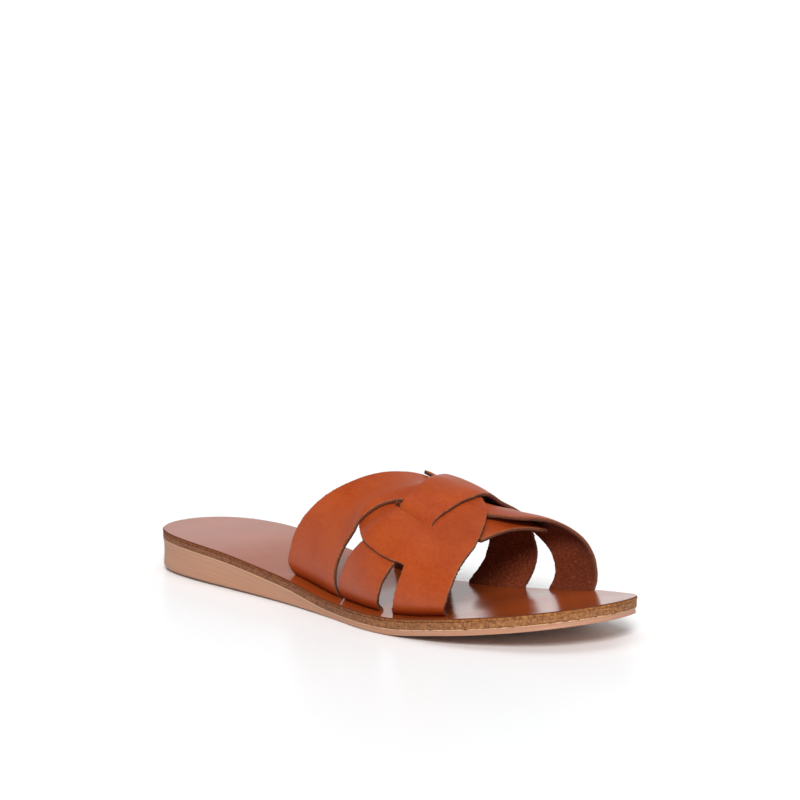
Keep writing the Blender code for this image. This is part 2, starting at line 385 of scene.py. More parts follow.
# Where straps stand off the last: names, station, share, reach along and across in mm, height. The free edge
# of the wing hangs down, the tip of the lobe curls up, the middle strap arches over the top and its inner
# shoulder, the front edge of the diagonal strap flares up over the toes, and the inner shoulder of the empty
# shoe has sunk a little.
STANDS_OFF = (
    (("wing",), 189.0, 0.49, 14.0, 25.0, -5.0),
    (("leg",), 142.0, 0.57, 7.0, 6.0, 1.4),
    (("middle",), 163.0, 0.505, 22.0, 15.0, 4.7),
    (("middle",), 159.0, 0.605, 16.0, 9.0, 3.6),
    (("diagonal",), 199.0, 0.70, 20.0, 22.0, 3.8),
    (("wing", "diagonal", "leg", "middle"), 158.0, 0.64, 15.0, 13.0, -3.2),
)
print(f"weave: {len(CROSSINGS)} crossings, {len(STANDS_OFF)} places that stand off the last")

# %% Let the sheets settle
# Number of sweeps, pull towards the last in each, air between two plies in mm, and the cover that counts
SWEEPS = 600
PULL = 0.0025
PLY_GAP = 0.3
TOUCH = 0.05


def settle():
    """Heights of the four sheets after the sweeps. Where an upper sheet lies too low on a lower one, both
    give way by half, but none sinks below its place of rest, and the feet stay in their slots."""
    rest = {name: np.zeros(share_map.shape) for name in CUT}
    for names, station, share, along, across, high in STANDS_OFF:
        away = np.hypot((station_map - station) / along, (share_map - share) * ARCH_SPAN / across)
        for name in names:
            rest[name] += high * np.exp(-away**3)
    height = {name: level.copy() for name, level in rest.items()}
    for _ in range(SWEEPS):
        for name in height:
            level = spread(height[name])
            height[name] = level + PULL * (rest[name] - level)
        for upper, lower, where in CROSSINGS:
            touch = where & (cover[upper] > TOUCH) & (cover[lower] > TOUCH)
            short = height[lower] + (STRAP_THICK + PLY_GAP) * cover[lower] * grip - height[upper]
            short = np.where(touch, np.maximum(short, 0), 0)
            height[upper] = height[upper] + short / 2
            height[lower] = height[lower] - short / 2
        joined = (height["leg"] + height["wing"]) / 2
        for name in ("leg", "wing"):
            height[name] = np.where(one_sheet, joined, height[name])
        for name in height:
            height[name] = np.maximum(height[name], rest[name])
            height[name][[0, -1]] = 0
    return {name: spread(spread(level)) for name, level in height.items()}


HEIGHT = settle()
for name, level in HEIGHT.items():
    print(f"{name}: {level.min():.1f} to {level.max():.1f} mm over the last")

# %% [markdown]
# ## From heights to leather
# A height is read off the raster with a cubic spline, which has no corners, and set out from the last.
# That gives the grain side. The flesh side lies one thickness below, and a rounded rim, carried round
# every cut edge, closes the piece. The cut is never quite straight, so the rim is a little uneven.
# The Solidify modifier could give the thickness too, but it would leave the edge flat and clean.

# %% Heights and creases of the grain side
# Creases: piece, station and share of both ends, half width in mm, depth in mm, below 0 for a ridge
CREASES = (
    ("forked", 160.0, 0.340, 173.0, 0.340, 3.0, 0.20),
    ("forked", 178.0, 0.350, 184.5, 0.332, 1.8, 0.25),
    ("forked", 182.0, 0.392, 190.0, 0.362, 3.2, 0.20),
    ("forked", 175.0, 0.045, 202.0, 0.045, 3.0, 0.20),
    ("middle", 161.0, 0.378, 177.5, 0.366, 2.6, -0.25),
    ("middle", 137.0, 0.050, 167.0, 0.055, 3.0, 0.20),
    ("diagonal", 100.0, 0.055, 138.0, 0.050, 3.5, 0.25),
    ("diagonal", 186.0, 0.870, 207.0, 0.880, 4.0, 0.25),
)


def read_height(field, station, share):
    """Cubic spline through the raster: each value is a weighted mean of the four by four cells round it."""
    x = (station - STATIONS[0]) / (STATIONS[1] - STATIONS[0])
    y = share * (len(SHARES) - 1)
    column, row = np.floor(x).astype(int), np.floor(y).astype(int)
    total = np.zeros(station.shape)
    weights = []
    for f in (y - row, x - column):
        here = (3 * f**3 - 6 * f**2 + 4) / 6
        beyond = (-3 * f**3 + 3 * f**2 + 3 * f + 1) / 6
        weights.append(((1 - f)**3 / 6, here, beyond, f**3 / 6))
    for i in range(4):
        for j in range(4):
            r = np.clip(row + i - 1, 0, field.shape[0] - 1)
            c = np.clip(column + j - 1, 0, field.shape[1] - 1)
            total += weights[0][i] * weights[1][j] * field[r, c]
    return total


def creased(piece, station, share):
    """Lift from the creases of a piece: a bell curve of the distance to the line from end to end."""
    lift = np.zeros(station.shape)
    for owner, station_0, share_0, station_1, share_1, width, depth in CREASES:
        if owner == piece:
            along, across = station_1 - station_0, (share_1 - share_0) * ARCH_SPAN
            x, y = station - station_0, (share - share_0) * ARCH_SPAN
            t = np.clip((x * along + y * across) / (along**2 + across**2), 0, 1)
            lift -= depth * np.exp(-((x - t * along)**2 + (y - t * across)**2) / width**2)
    return lift


# %% Grain side with its feet
# Share within which heights fade away at a slot, and steps of a foot down into its slot in mm
FOOT_FADE = 0.02
FOOT_STEPS = (0.4, 0.8, INSOLE_THICK)
# How far the outer feet are tucked in, in mm, the share where that starts, and how suddenly it comes
FOOT_TUCK = 5.0
TUCK_SHARE = 0.10
TUCK_POWER = 3


def grain_side(name, piece):
    """Points of a strap's grain side: the last plus height, crease and thickness along its outward direction.
    The outer feet are tucked in under the strap, the more the nearer they are to the slot."""
    station, share = CUT[name]
    level = read_height(HEIGHT[name], station, share) + creased(piece, station, share)
    level *= np.clip(np.minimum(share, 1 - share) / FOOT_FADE, 0, 1)
    points = arch(station, share) + (level + STRAP_THICK)[..., None] * arch_normal(station, share)
    points[..., 1] += FOOT_TUCK * np.clip(1 - share / TUCK_SHARE, 0, 1) ** TUCK_POWER
    return points


def with_feet(points):
    """The same grid with rows added at both ends that go straight down into the slots."""
    down = np.array((0.0, 0.0, 1.0))
    first = [points[:1] - step * down for step in FOOT_STEPS[::-1]]
    last = [points[-1:] - step * down for step in FOOT_STEPS]
    return np.concatenate(first + [points] + last)


# %% Flesh side and cut edge
# Rim of a cut strap from the grain side down: depth as a share of the thickness, bulge in mm
RIM = ((0.0, 0.0), (0.08, 0.16), (0.25, 0.26), (0.5, 0.28), (0.75, 0.26), (0.92, 0.16), (1.0, 0.0))
# How uneven the cut is, in mm
ROUGH_CUT = 0.13


def numbered(grid):
    """Number of each point of a grid, counted row by row."""
    return np.arange(grid.shape[0] * grid.shape[1]).reshape(grid.shape[:2])


def quads(index):
    """Four corners of every cell of a grid of point numbers."""
    return np.stack((index[:-1, :-1], index[:-1, 1:], index[1:, 1:], index[1:, :-1]), axis=-1).reshape(-1, 4)


def corner_normals(points, faces):
    """Normal of each point: the sum of the cross products of the diagonals of the faces round it."""
    corners = points[faces]
    face = np.cross(corners[:, 2] - corners[:, 0], corners[:, 3] - corners[:, 1])
    normal = np.zeros_like(points)
    for k in range(4):
        np.add.at(normal, faces[:, k], face)
    return normal / np.linalg.norm(normal, axis=1, keepdims=True)


def thicken(points, faces, thick, rim, rough=0.0, seed=1):
    """Closed piece from its grain side. Border edges are those with no partner the other way round. The
    rim steps down from them, each step set out sideways by its bulge, to the flesh side."""
    count = len(points)
    normal = corner_normals(points, faces)
    start, end = faces.ravel(), np.roll(faces, -1, axis=1).ravel()
    border = ~np.isin(start * count + end, end * count + start)
    start, end = start[border], end[border]
    side = np.cross(points[end] - points[start], normal[start] + normal[end])
    outward = np.zeros_like(points)
    np.add.at(outward, start, side)
    np.add.at(outward, end, side)
    edge = np.unique(start)
    outward = outward[edge] / np.linalg.norm(outward[edge], axis=1, keepdims=True)
    uneven = np.random.default_rng(seed).normal(0, rough, (len(rim) - 2, len(edge)))
    layers = [points]
    slot_of = np.full((len(rim), count), -1)
    slot_of[0] = np.arange(count)
    for k, (depth, bulge) in enumerate(rim[1:-1], start=1):
        slot_of[k, edge] = sum(len(layer) for layer in layers) + np.arange(len(edge))
        set_out = (bulge + uneven[k - 1])[:, None] * outward
        layers.append(points[edge] - depth * thick * normal[edge] + set_out)
    slot_of[-1] = sum(len(layer) for layer in layers) + np.arange(count)
    layers.append(points - thick * normal)
    sides = [np.column_stack((slot_of[k][end], slot_of[k][start], slot_of[k + 1][start], slot_of[k + 1][end]))
             for k in range(len(rim) - 1)]
    every_face = np.vstack([faces] + sides + [slot_of[-1][faces[:, ::-1]]])
    finish = np.repeat((0, 1, 2), (len(faces), sum(map(len, sides)), len(faces)))
    depth = np.concatenate([np.full(len(layer), row[0]) for layer, row in zip(layers, rim)])
    return np.vstack(layers), every_face, finish, depth


# %% From points to a piece
def make_piece(name, materials, points, faces, finish, depth):
    """Mesh object at the origin from points in mm: smooth, with a material number for each face and the
    depth below its upper edge for each point."""
    mesh = bpy.data.meshes.new(name)
    mesh.from_pydata((points * MM).tolist(), [], [list(face) for face in faces])
    for material in materials:
        mesh.materials.append(material)
    mesh.polygons.foreach_set("material_index", finish.astype(np.int32))
    edge_depth = mesh.attributes.new("edge_depth", "FLOAT", "POINT")
    edge_depth.data.foreach_set("value", depth.astype(np.float32))
    mesh.shade_smooth()
    mesh.update()
    made = bpy.data.objects.new(name, mesh)
    bpy.context.scene.collection.objects.link(made)
    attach(made, "root")
    print(f"{name}: {len(points)} points, {len(faces)} faces")
    return made


# %% [markdown]
# ## Colours and nodes
# Colours are written as the hex values seen on a screen and turned to linear light once. One small
# function adds a node, sets it and links it, so each finish below reads from top to bottom.

# %% Helpers for materials
def linear(code):
    """Linear colour of an sRGB hex value, by the standard's curve with its straight foot."""
    value = np.array([int(code[k:k + 2], 16) for k in (1, 3, 5)]) / 255
    light = np.where(value <= 0.04045, value / 12.92, ((value + 0.055) / 1.055) ** 2.4)
    return (*light.tolist(), 1.0)


def plug(tree, node, links):
    """Give a node's inputs their values; a value that is another node's output becomes a link."""
    for key, value in links.items():
        if isinstance(value, bpy.types.NodeSocket):
            tree.links.new(value, node.inputs[key])
        else:
            node.inputs[key].default_value = value


def add(tree, kind, links=None, stops=None, **settings):
    """One node: settings are its properties, links maps an input to a value or an output, stops colours."""
    made = tree.nodes.new(kind)
    for key, value in settings.items():
        setattr(made, key, value)
    plug(tree, made, links or {})
    for k, (place, code) in enumerate(stops or ()):
        stop = made.color_ramp.elements[k] if k < 2 else made.color_ramp.elements.new(place)
        stop.position = place
        stop.color = linear(code)
    return made


def new_finish(name):
    """Empty material with its node tree, its shader and the object coordinates."""
    made = bpy.data.materials.new(name)
    made.use_nodes = True
    tree = made.node_tree
    place = add(tree, "ShaderNodeTexCoord").outputs["Object"]
    print("finish:", name)
    return made, tree, tree.nodes["Principled BSDF"], place


def per_mm(size):
    """Scale of a noise, on coordinates in metres, whose blots are about this many millimetres wide."""
    return 1 / (size * MM)


# %% [markdown]
# ## Strap leather
# The straps are smooth cowhide, dyed through and lightly waxed. The grain side is a warm tan with faint
# clouds from the dye, small wrinkles and pores, and it has a soft satin shine. The flesh side is rough and
# darker, with short fibres that scatter the light. The cut edge shows bare fibres, with a painted highlight
# along its top that gives way to darker fibres below. A picture could carry all this, but noise on the
# object's own coordinates has no seams and follows every strap.

# %% Waxed cowhide, grain side
# Share of the wrinkles in the colour, beside the clouds
WRINKLE_TINT = 0.6


def waxed_cowhide():
    """Dyed and waxed grain: clouds 22 mm wide, wrinkles and pores that break up a satin shine. Wrinkles are
    about 0.5 mm wide and pores 0.2 mm on the hide, too fine to show, so they are drawn at 1.6 and 0.7 mm."""
    made, tree, shader, place = new_finish("waxed cowhide, grain side")
    clouds = add(tree, "ShaderNodeTexNoise", {"Vector": place, "Scale": per_mm(22), "Detail": 4.0})
    pores = add(tree, "ShaderNodeTexVoronoi", {"Vector": place, "Scale": per_mm(0.7)}, feature="SMOOTH_F1")
    wrinkles = add(tree, "ShaderNodeTexNoise", {"Vector": place, "Scale": per_mm(1.6), "Detail": 6.0})
    mottled = add(tree, "ShaderNodeMath", {
        0: wrinkles.outputs["Fac"], 1: WRINKLE_TINT, 2: clouds.outputs["Fac"]}, operation="MULTIPLY_ADD")
    tan = add(tree, "ShaderNodeValToRGB", {"Fac": mottled.outputs[0]},
              stops=((0.58, "#983A14"), (1.00, "#A9491D")))
    relief = add(tree, "ShaderNodeMath", {0: pores.outputs["Distance"], 1: wrinkles.outputs["Fac"]})
    bump = add(tree, "ShaderNodeBump", {"Height": relief.outputs[0], "Strength": 0.16, "Distance": 0.2 * MM})
    shine = add(tree, "ShaderNodeMapRange", {
        "Value": wrinkles.outputs["Fac"], "To Min": 0.34, "To Max": 0.46})
    plug(tree, shader, {
        "Base Color": tan.outputs["Color"], "Normal": bump.outputs["Normal"],
        "Roughness": shine.outputs["Result"], "IOR": 1.45, "Specular IOR Level": 0.30})
    return made


# %% Waxed cowhide, flesh side
def cowhide_flesh():
    """Bare split side: matt and fuzzy. Its fibres are about 0.1 mm wide and are drawn at 0.9 mm to show."""
    made, tree, shader, place = new_finish("waxed cowhide, flesh side")
    fibres = add(tree, "ShaderNodeTexNoise", {
        "Vector": place, "Scale": per_mm(0.9), "Detail": 5.0, "Roughness": 0.7}).outputs["Fac"]
    brown = add(tree, "ShaderNodeValToRGB", {"Fac": fibres},
                stops=((0.30, "#4E1C0A"), (0.55, "#713017"), (0.75, "#95512C")))
    bump = add(tree, "ShaderNodeBump", {"Height": fibres, "Strength": 0.6, "Distance": 0.3 * MM})
    plug(tree, shader, {
        "Base Color": brown.outputs["Color"], "Normal": bump.outputs["Normal"],
        "Roughness": 0.95, "Specular IOR Level": 0.2, "Sheen Weight": 0.03})
    return made


# %% Cut edge of the cowhide
# Share of the depth, which fades the cut's painted highlight at the top, and of the fibres in the colour of
# the cut
EDGE_HIGHLIGHT_FADE, EDGE_FIBRES = 0.6, 0.7


def cowhide_edge():
    """Knife-cut edge: matt fibres, with a painted highlight at the top that gives way to dark below. Cut
    fibres are about 0.1 mm wide and are drawn at 0.8 mm to show."""
    made, tree, shader, place = new_finish("cut edge of cowhide")
    depth = add(tree, "ShaderNodeAttribute", attribute_name="edge_depth").outputs["Fac"]
    fibres = add(tree, "ShaderNodeTexNoise", {
        "Vector": place, "Scale": per_mm(0.8), "Detail": 4.0, "Roughness": 0.7}).outputs["Fac"]
    # Painted highlight along the top of the cut, fading to darker with depth
    lower = add(tree, "ShaderNodeMath", {0: depth, 1: EDGE_HIGHLIGHT_FADE}, operation="MULTIPLY")
    mixed = add(tree, "ShaderNodeMath", {0: fibres, 1: EDGE_FIBRES, 2: lower.outputs[0]},
                operation="MULTIPLY_ADD")
    brown = add(tree, "ShaderNodeValToRGB", {"Fac": mixed.outputs[0]},
                stops=((0.34, "#905A34"), (0.46, "#743C22"), (0.72, "#602E1A"), (0.98, "#401C0E")))
    bump = add(tree, "ShaderNodeBump", {"Height": fibres, "Strength": 0.7, "Distance": 0.3 * MM})
    plug(tree, shader, {
        "Base Color": brown.outputs["Color"], "Normal": bump.outputs["Normal"], "Roughness": 0.85})
    return made


# %% [markdown]
# ## The straps
# Each strap is one sheet from slot to slot. Its grid is thickened, gets the three finishes of grain, cut
# and flesh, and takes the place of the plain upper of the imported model.

# %% Cut and lay the two plain straps
STRAP_FINISHES = (waxed_cowhide(), cowhide_edge(), cowhide_flesh())
straps = []
for seed, name in enumerate(("diagonal", "middle"), start=1):
    grid = with_feet(grain_side(name, name))
    body = thicken(grid.reshape(-1, 3), quads(numbered(grid)), STRAP_THICK, RIM, ROUGH_CUT, seed)
    straps.append(make_piece(name + "_strap", STRAP_FINISHES, *body))

# %% [markdown]
# The forked strap is one piece of leather. Its leg and lobe are one grid and its wing another, and the
# first and last rung of the wing are the very points of the leg's edge between crotch and slit, so there
# is no seam.

# %% The forked strap
FORKED_SEED = 3


def seam(numbers, share, column):
    """Numbers of the leg's points along one edge where the wing joins it, from a share onwards."""
    row = len(FOOT_STEPS) + int(np.abs(leg_shares - share).argmin())
    return numbers[row:row + COLUMNS, column]


leg = with_feet(grain_side("leg", "forked"))
wing = grain_side("wing", "forked")[1:-1]
leg_numbers = numbered(leg)
outer_seam, inner_seam = seam(leg_numbers, CROTCH, 0), seam(leg_numbers, INNER_SLIT, -1)
wing_numbers = np.vstack((outer_seam, leg_numbers.size + numbered(wing), inner_seam))
faces = np.vstack((quads(leg_numbers), quads(wing_numbers)))
points = np.vstack((leg.reshape(-1, 3), wing.reshape(-1, 3)))
body = thicken(points, faces, STRAP_THICK, RIM, ROUGH_CUT, FORKED_SEED)
straps.append(make_piece("forked_strap", STRAP_FINISHES, *body))
for strap in straps:
    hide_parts("upper")

# %% [markdown]
# ## Insole
# The insole is one sheet of smooth leather with six slots near its edge. Its polish mirrors the straps and
# the bright room softly, and its cut edge is dyed at the top and bare below, where the same fibres show as
# in the board. Its grid has lines along the slots' walls and ends, so a slot is a block of cells left out,
# and the rim goes round it as it goes round the edge. A Boolean leaves long thin faces that shade badly.

# %% Specks of leather fibre
# Along the shoe, in mm from its middle: where the board's edge is darkest and where it is most golden
BOARD_DARK, BOARD_GOLDEN = 0.0, 95.0


def speckles(tree, place):
    """Colour and grit of pressed leather fibres, dark brown at the heel and golden towards the toe. The
    crumbs are 0.3 to 1 mm wide and are drawn at 1.1 mm so that they show."""
    along = add(tree, "ShaderNodeSeparateXYZ", {0: place}).outputs["X"]
    grit = add(tree, "ShaderNodeTexNoise", {
        "Vector": place, "Scale": per_mm(1.1), "Detail": 6.0, "Roughness": 0.75}).outputs["Fac"]
    dark = add(tree, "ShaderNodeValToRGB", {"Fac": grit},
               stops=((0.34, "#50281A"), (0.50, "#7E4A2C"), (0.72, "#A26C42")))
    golden = add(tree, "ShaderNodeValToRGB", {"Fac": grit},
                 stops=((0.36, "#5A3018"), (0.50, "#8E5A30"), (0.60, "#A8723E"), (0.70, "#D2A262")))
    share = add(tree, "ShaderNodeMapRange", {
        "Value": along, "From Min": BOARD_DARK * MM, "From Max": BOARD_GOLDEN * MM}).outputs["Result"]
    colour = add(tree, "ShaderNodeMix", {
        "Factor": share, "A": dark.outputs["Color"], "B": golden.outputs["Color"]}, data_type="RGBA")
    return colour.outputs["Result"], grit


# %% Polished leather and its edge
# Depth, as a share of the thickness, between which the dyed rim gives way to bare fibres
DYED_FROM, DYED_TO = 0.15, 0.45


def polished_leather():
    """Coated and polished leather: even brown, with waves 9 mm wide that soften what it mirrors."""
    made, tree, shader, place = new_finish("polished insole leather")
    clouds = add(tree, "ShaderNodeTexNoise", {"Vector": place, "Scale": per_mm(30), "Detail": 3.0})
    brown = add(tree, "ShaderNodeValToRGB", {"Fac": clouds.outputs["Fac"]},
                stops=((0.30, "#944019"), (0.70, "#A0491E")))
    waves = add(tree, "ShaderNodeTexNoise", {"Vector": place, "Scale": per_mm(9), "Detail": 2.0})
    bump = add(tree, "ShaderNodeBump", {
        "Height": waves.outputs["Fac"], "Strength": 0.25, "Distance": 0.2 * MM})
    plug(tree, shader, {
        "Base Color": brown.outputs["Color"], "Normal": bump.outputs["Normal"],
        "Roughness": 0.17, "IOR": 1.34})
    return made


def insole_edge():
    """Cut edge of the insole: a thin dark line of dye over matt, speckled fibres."""
    made, tree, shader, place = new_finish("dyed and bare insole edge")
    depth = add(tree, "ShaderNodeAttribute", attribute_name="edge_depth").outputs["Fac"]
    bare = add(tree, "ShaderNodeMapRange", {"Value": depth, "From Min": DYED_FROM, "From Max": DYED_TO})
    fibres, _ = speckles(tree, place)
    colour = add(tree, "ShaderNodeMix", data_type="RGBA", links={
        "Factor": bare.outputs["Result"], "A": linear("#5A2C1A"), "B": fibres})
    plug(tree, shader, {
        "Base Color": colour.outputs["Result"], "Roughness": 0.8, "Specular IOR Level": 0.15})
    return made


# %% Grid of the insole
# Slots: side, station of the rear end, station of the front end
SLOTS = (
    ("outer", 99.9, 133.3),
    ("outer", 136.3, 163.6),
    ("outer", 170.6, 198.9),
    ("inner", 111.5, 138.5),
    ("inner", 147.2, 172.1),
    ("inner", 183.9, 208.3),
)
# Lines along the insole: distance from the outer and from the inner edge in mm. The slots' walls are the
# lines at 7.5 and 9.9 mm and at 3.7 and 1.3 mm, and a line close beside each keeps the shading flat.
OUTER_LINES = np.array((0.3, 0.6, 1.5, 7.3, 7.5, 9.9, 10.1, 11.0))
INNER_LINES = np.array((6.0, 3.9, 3.7, 1.3, 1.1, 0.6, 0.3))
# Cells across the insole that hold the slots, counted from the outer and from the inner edge
SLOT_COLUMN = {"outer": 4, "inner": -4}
# Even columns between those lines, rows from heel to toe, and the width below which the lines draw together
MIDDLE_COLUMNS = 14
INSOLE_ROWS = 180
NARROW = 32.0
# Rows beside a slot's end, how far other rows stay away from it, and how close counts as equal, in mm
SLOT_GUARD = 0.2
ROW_CLEAR = 0.6
EQUAL = 0.01


def insole_grid():
    """Rows at stations that crowd towards heel and toe and include every slot's ends. Columns at set
    distances from both edges, drawn together where the sole is narrow, and even between them."""
    turn = np.linspace(0, np.pi, INSOLE_ROWS)
    rows = HEEL_END + (TOE_END - HEEL_END) * (1 - np.cos(turn)) / 2
    ends = np.array([slot[1:] for slot in SLOTS]).ravel()
    clear = np.abs(rows[:, None] - ends).min(axis=1) > ROW_CLEAR
    rows = np.sort(np.concatenate((rows[clear], ends - SLOT_GUARD, ends, ends + SLOT_GUARD)))
    outer, inner = board(BOARD_OUTER, rows)[:, None], board(BOARD_INNER, rows)[:, None]
    tight = np.clip((inner - outer) / NARROW, 0, 1)
    left, right = outer + OUTER_LINES * tight, inner - INNER_LINES * tight
    even = np.linspace(0, 1, MIDDLE_COLUMNS + 2)[1:-1]
    middle = left[:, -1:] + (right[:, :1] - left[:, -1:]) * even
    y = np.hstack((left, middle, right))
    x, z = rows[:, None] - LENGTH / 2, insole_top(rows)[:, None]
    return np.stack(np.broadcast_arrays(x, y, z), axis=-1), rows


grid, rows = insole_grid()
keep = np.ones((grid.shape[0] - 1, grid.shape[1] - 1), bool)
for side, rear, front in SLOTS:
    inside = (rows[:-1] > rear - EQUAL) & (rows[1:] < front + EQUAL)
    keep[inside, SLOT_COLUMN[side]] = False
print(f"insole grid: {grid.shape[0]} by {grid.shape[1]}, {(~keep).sum()} cells left out for the slots")

# %% Insole with its slots
# How far a layer reaches down into the gap below it in mm, so that no light comes through
LAYER_FILL = 0.28
# Rim of the insole from the top down: depth as a share of the thickness, bulge in mm
INSOLE_RIM = ((0.0, 0.0), (0.12, 0.18), (0.35, 0.28), (0.7, 0.3), (1.0, 0.3))
faces = quads(numbered(grid))[:, ::-1][keep.ravel()]
used, faces = np.unique(faces, return_inverse=True)
points, faces, finish, depth = thicken(
    grid.reshape(-1, 3)[used], faces.reshape(-1, 4), INSOLE_THICK + LAYER_FILL, INSOLE_RIM)
# The underside is glued down and has the edge's finish
finish = np.minimum(finish, 1)
insole = make_piece("insole_leather", (polished_leather(), insole_edge()), points, faces, finish, depth)
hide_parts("insole")

# %% [markdown]
# ## Board and outsole
# Both are walls carried round the sole's outline: a table gives how high each line of the wall lies and how
# far it is drawn in. The board's cut edge is rough pressed fibre with golden specks. The outsole is moulded
# rubber, a little hollow half way up, with a rounded bottom edge, fine lines from the mould and a pale line
# along its top, glue with a painted highlight, torn towards the toe. A bevelled slab could do, but its wall
# would be plain.

# %% Walls round the outline
# Lines across the sole, lines that close each flat end, the share of its width at which they stop, and how
# far the ends bow out in mm
WALL_STATIONS = 260
END_ROWS = 6
END_WIDTH = 0.04
END_BOW = 0.25
# Sole walls from the top down: share of the height, inset from the outline in mm
BOARD_WALL = np.array((
    (1.0, 0.04), (0.93, 0.0), (0.75, 0.0), (0.5, 0.06), (0.25, 0.0), (0.07, 0.02), (0.0, 0.25),
))
OUTSOLE_WALL = np.array((
    (1.000, 0.45), (0.985, 0.18), (0.96, 0.10), (0.84, 0.34), (0.70, 0.50), (0.55, 0.54), (0.40, 0.50),
    (0.28, 0.36), (0.20, 0.30), (0.13, 0.40), (0.08, 0.90), (0.045, 1.90), (0.00, 3.60),
))


def drawn_in(inset):
    """Outer and inner half of the outline as stations and places across, from the middle of the heel's flat
    end to the middle of the toe's, each point moved inwards at right angles to its neighbours."""
    turn = np.linspace(0, np.pi, WALL_STATIONS)
    station = HEEL_END + (TOE_END - HEEL_END) * (1 - np.cos(turn)) / 2
    station = np.pad(station, END_ROWS, mode="edge")
    wide = np.pad(np.ones(WALL_STATIONS), END_ROWS, mode="linear_ramp", end_values=END_WIDTH)
    station = station + np.sign(station - LENGTH / 2) * END_BOW * (1 - wide**2)
    outer, inner = board(BOARD_OUTER, station), board(BOARD_INNER, station)
    middle, half = (outer + inner) / 2, wide * (inner - outer) / 2
    outer = np.column_stack((station, middle - half))
    inner = np.column_stack((station, middle + half))
    loop = np.vstack((outer, inner[::-1]))
    ahead = np.roll(loop, -1, axis=0) - loop
    ahead /= np.linalg.norm(ahead, axis=1, keepdims=True)
    ahead = ahead + np.roll(ahead, 1, axis=0)
    ahead /= np.linalg.norm(ahead, axis=1, keepdims=True)
    loop = loop + inset * np.column_stack((-ahead[:, 1], ahead[:, 0]))
    return loop[:len(station)], loop[len(station):][::-1]


def sole_piece(name, top, bottom, wall, material):
    """Closed piece: rings of points across the sole, down the outer wall and up the inner wall, joined
    from heel to toe. The depth in mm below the top of the wall goes along as an attribute."""
    lines = {"outer": [], "inner": []}
    depths = {"outer": [], "inner": []}
    for share, inset in wall:
        for side, half in zip(lines, drawn_in(inset)):
            station, across = half.T
            low, high = bottom(station), top(station)
            z = low + share * (high - low)
            lines[side].append(np.column_stack((station - LENGTH / 2, across, z)))
            depths[side].append(high - z)
    rings = np.stack(lines["outer"] + lines["inner"][::-1], axis=1)
    depth = np.stack(depths["outer"] + depths["inner"][::-1], axis=1)
    numbers = numbered(rings)
    faces = quads(np.hstack((numbers, numbers[:, :1]))).tolist()
    faces.append(numbers[0, ::-1].tolist())
    faces.append(numbers[-1].tolist())
    finish = np.zeros(len(faces))
    return make_piece(name, (material,), rings.reshape(-1, 3), faces, finish, depth.ravel())


# %% Heights of the layers
# Lift of the sole's bottom in the toe spring: station, lift
TOE_SPRING = np.array((
    (0, 0), (50, 0), (100, 0), (139, 0), (171, 0), (202, 3.3), (227, 6.6), (252, 10.7),
), float)


def board_top(station):
    """Height of the board's top, read from the model."""
    return board(BOARD_TOP, station)


def board_bottom(station):
    """Height of the board's bottom, carried down into the gap for glue."""
    return board(BOARD_BOTTOM, station) - LAYER_FILL


def outsole_top(station):
    """Height of the outsole's top, one gap for glue below the board."""
    return board(BOARD_BOTTOM, station) - GLUE_GAP


def ground(station):
    """Height of the sole's bottom: flat on the floor, then rising in the toe spring."""
    return smooth(TOE_SPRING, 1, station)


print(f"toe spring: {ground(TOE_END):.1f} mm at the tip")

# %% Pressed fibre board
def fibre_board():
    """Board of pressed leather crumbs, cut and left raw: matt, rough and speckled."""
    made, tree, shader, place = new_finish("pressed leather fibre board")
    fibres, grit = speckles(tree, place)
    bump = add(tree, "ShaderNodeBump", {"Height": grit, "Strength": 0.9, "Distance": 0.5 * MM})
    plug(tree, shader, {"Base Color": fibres, "Normal": bump.outputs["Normal"], "Roughness": 0.75})
    return made


midsole = sole_piece("board_edge", board_top, board_bottom, BOARD_WALL, fibre_board())
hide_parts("midsole")

# %% Moulded rubber
# Depth in mm between which the pale line at the outsole's top, glue with a painted highlight, fades away, and
# its evenness at the heel
GLUE_AND_HIGHLIGHT_FROM, GLUE_AND_HIGHLIGHT_TO = 0.15, 0.45
EVEN_GLUE_AND_HIGHLIGHT = 0.58


